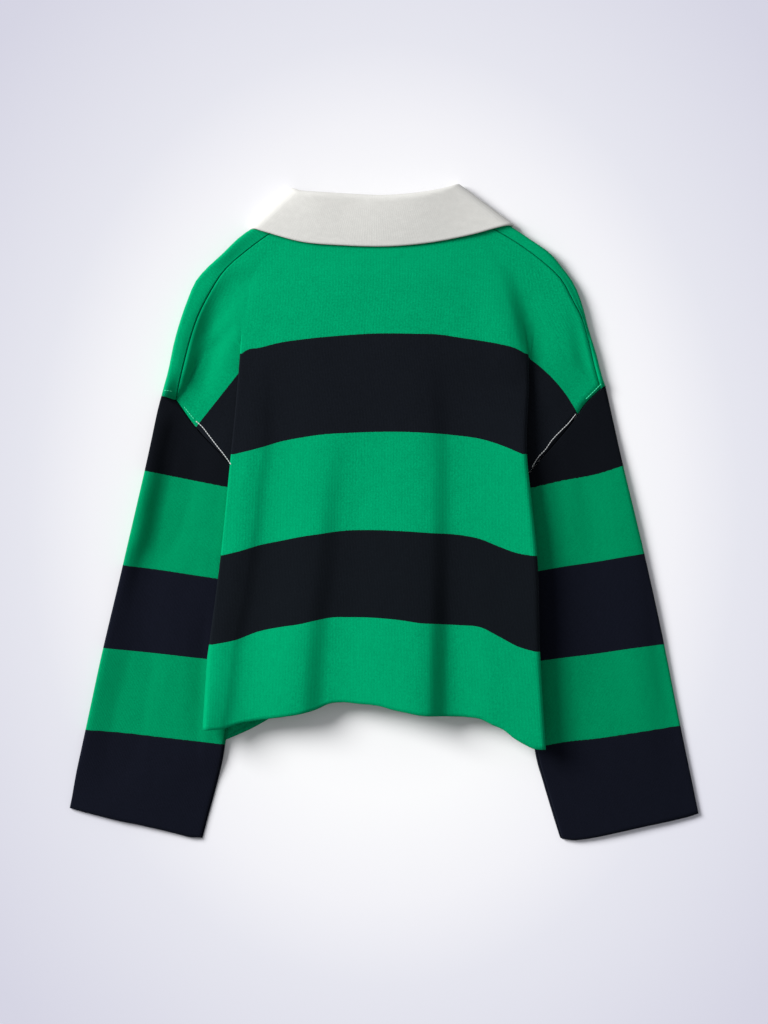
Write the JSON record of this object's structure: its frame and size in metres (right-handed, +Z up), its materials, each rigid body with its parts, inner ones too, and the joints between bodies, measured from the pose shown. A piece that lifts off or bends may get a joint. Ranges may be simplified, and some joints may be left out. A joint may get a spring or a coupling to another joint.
{
  "type": "cropped sweater",
  "caption": "Cropped knitted sweater with wide stripes, long straight sleeves and a turn-down collar, laid flat with its back up.",
  "frame": {"origin": "on the surface it lies on, under the middle of its bounding box", "axes": "+Z up from the surface, out of the back of the garment; +Y towards the neck; +X towards the wearer's right sleeve"},
  "size_m": [0.6601, 0.6861, 0.0308],
  "materials": {
    "knit_body": "matte fine knit",
    "knit_front": "matte fine knit",
    "knit_sleeve": "matte fine knit",
    "rib_collar": "matte rib knit"
  },
  "bodies": {
    "root": {"back_panel": "knit_body", "front_panel": "knit_front", "sleeve_left": "knit_sleeve", "sleeve_right": "knit_sleeve", "collar": "rib_collar"}
  },
  "joints": []
}
